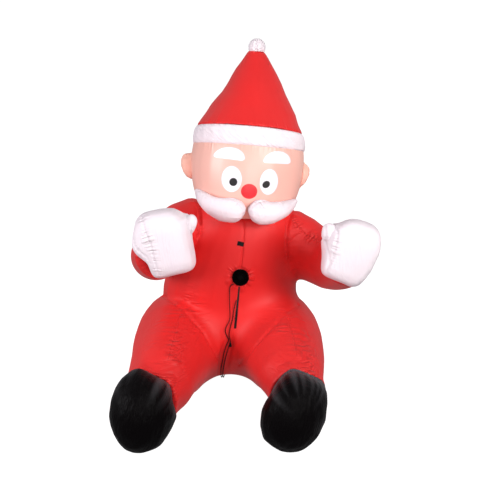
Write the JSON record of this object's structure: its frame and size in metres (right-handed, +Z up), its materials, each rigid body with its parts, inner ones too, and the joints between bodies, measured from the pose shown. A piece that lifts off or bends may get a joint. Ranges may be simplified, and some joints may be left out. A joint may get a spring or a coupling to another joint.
{
  "type": "seated inflatable figure",
  "caption": "Seated inflatable Santa for garden or yard display, arms held out, round face, cone hat, boots to the front, kept up by a fan in its belly.",
  "frame": {"origin": "on the floor under the middle of the figure's bounding box, measured without its leads", "axes": "+Z up; the figure faces -Y; +X is the viewer's right when looking at its face"},
  "size_m": [1.469, 1.9021, 2.1],
  "materials": {
    "red_cloth": "satin",
    "skin_cloth": "satin",
    "white_cloth": "satin",
    "black_cloth": "satin",
    "black_plastic": "matte",
    "cord_rubber": "matte"
  },
  "bodies": {
    "root": {"suit": "red_cloth", "head": "skin_cloth", "left_ear": "skin_cloth", "right_ear": "skin_cloth", "left_moustache": "white_cloth", "right_moustache": "white_cloth", "hat_band": "white_cloth", "hat": "red_cloth", "pompom": "white_cloth", "left_mitten": "white_cloth", "right_mitten": "white_cloth", "left_boot": "black_cloth", "right_boot": "black_cloth", "fan_cover": "black_plastic", "zip": "black_plastic", "chest_tab": "black_cloth", "fan_lead": "cord_rubber", "light_lead": "cord_rubber", "lead_clip": "black_plastic", "lead_splitter": "black_plastic", "supply_lead_near": "cord_rubber", "supply_coil": "cord_rubber", "supply_lead_far": "cord_rubber", "power_adapter": "black_plastic"}
  },
  "joints": []
}
